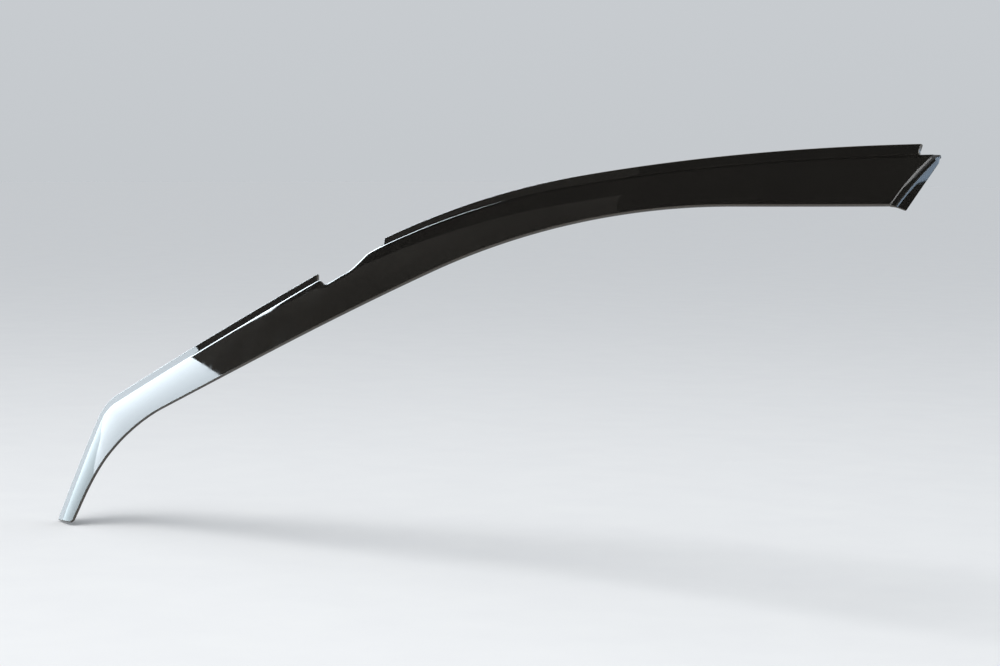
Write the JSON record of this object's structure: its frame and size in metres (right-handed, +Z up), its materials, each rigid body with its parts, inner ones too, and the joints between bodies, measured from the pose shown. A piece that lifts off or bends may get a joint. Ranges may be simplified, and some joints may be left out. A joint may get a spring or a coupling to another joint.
{
  "type": "window rain deflector",
  "caption": "One-piece smoke acrylic window visor with a channel flange, a stepped and crowned face, a leg at the mirror corner and an end wall turned in to the glass.",
  "frame": {"origin": "on the outside of the door glass, at the rear end of the bend line that runs just under the window channel", "axes": "as fitted to an upright car: +X to the rear of the car, +Y to its inside, +Z up. The glass leans to the inside by 32 degrees at the top and by about 20 degrees at the foot"},
  "size_m": [0.9872, 0.1994, 0.3954],
  "materials": {
    "smoke_acrylic": "gloss smoke-tinted acrylic sheet with a polished lower edge"
  },
  "bodies": {
    "root": {"visor": "smoke_acrylic"}
  },
  "joints": []
}
